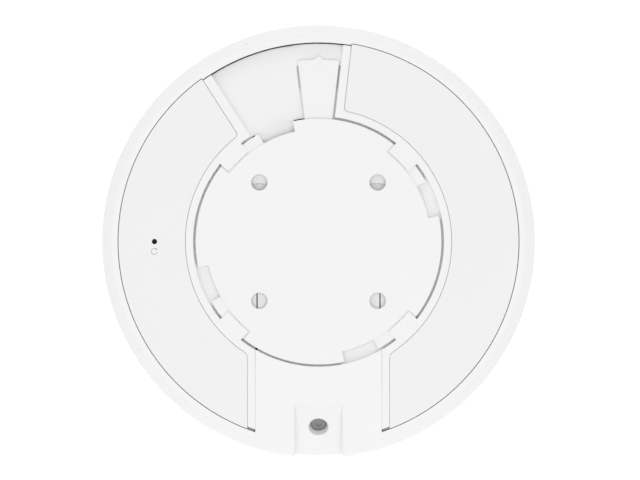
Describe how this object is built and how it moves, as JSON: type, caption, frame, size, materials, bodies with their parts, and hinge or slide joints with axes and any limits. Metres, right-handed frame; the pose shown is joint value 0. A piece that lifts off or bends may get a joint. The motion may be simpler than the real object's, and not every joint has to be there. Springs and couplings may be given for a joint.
{
  "type": "ceiling access point",
  "caption": "Round white ceiling-mounted wireless access point with a twist-lock mounting bracket, release tongue, cable bay and recessed lock screw.",
  "frame": {"origin": "centre of the mounting bracket's ceiling face", "axes": "+Z towards the ceiling the part hangs from, +Y from the centre towards the release tongue, +X to the right of the tongue seen from the ceiling side"},
  "size_m": [0.22, 0.2193, 0.048],
  "materials": {
    "shell": "fine satin texture",
    "inner_white": "satin",
    "circuit_board": "solder mask",
    "aluminium_sheet": "plain",
    "tinned_steel": "satin",
    "black_steel": "black oxide",
    "gold_contact": "gold plated",
    "black_plastic": "moulded",
    "thermal_pad": "soft",
    "clear_lens": "polished"
  },
  "bodies": {
    "bracket": {"mount_bracket": "inner_white"},
    "tongue": {"latch_tongue": "inner_white"},
    "access_point": {"rear_ring": "shell", "front_dome": "shell", "rear_chassis": "inner_white", "plug_well": "inner_white", "left_back_panel": "shell", "right_back_panel": "shell", "lock_screw": "black_steel", "main_board": "circuit_board", "heat_spreader": "aluminium_sheet", "ethernet_jack": "tinned_steel", "jack_contacts": "gold_contact", "reset_switch": "black_plastic", "status_led": "clear_lens", "status_light_pipe": "clear_lens", "network_transformer": "black_plastic", "power_inductor": "black_plastic", "shield_can_processor": "tinned_steel", "shield_can_radio_a": "tinned_steel", "shield_can_radio_b": "tinned_steel", "thermal_pad_processor": "thermal_pad", "thermal_pad_radio_a": "thermal_pad", "thermal_pad_radio_b": "thermal_pad", "antenna_1": "tinned_steel", "antenna_2": "tinned_steel", "antenna_3": "tinned_steel", "antenna_4": "tinned_steel", "antenna_cable_1": "black_plastic", "antenna_cable_2": "black_plastic", "antenna_cable_3": "black_plastic", "antenna_cable_4": "black_plastic", "chassis_screw_1": "tinned_steel", "chassis_screw_2": "tinned_steel", "chassis_screw_3": "tinned_steel", "chassis_screw_4": "tinned_steel", "capacitor_1": "aluminium_sheet", "capacitor_2": "aluminium_sheet"},
    "reset_button": {"reset_plunger": "black_plastic"}
  },
  "joints": [
    {"name": "twist_lock", "type": "hinge", "parent": "bracket", "child": "access_point", "pos_m": [0, 0, 0], "axis": [0, 0, 1], "range_deg": [-24.3, 0]},
    {"name": "tongue_flex", "type": "hinge", "parent": "bracket", "child": "tongue", "pos_m": [0, 0.06265, -0.0035], "axis": [1, 0, 0], "range_deg": [0, 3.5], "stiffness_Nm_per_rad": 1.5},
    {"name": "reset_press", "type": "slide", "parent": "access_point", "child": "reset_button", "axis": [0, 0, -1], "range_m": [0, 0.0005], "stiffness_N_per_m": 3000}
  ]
}
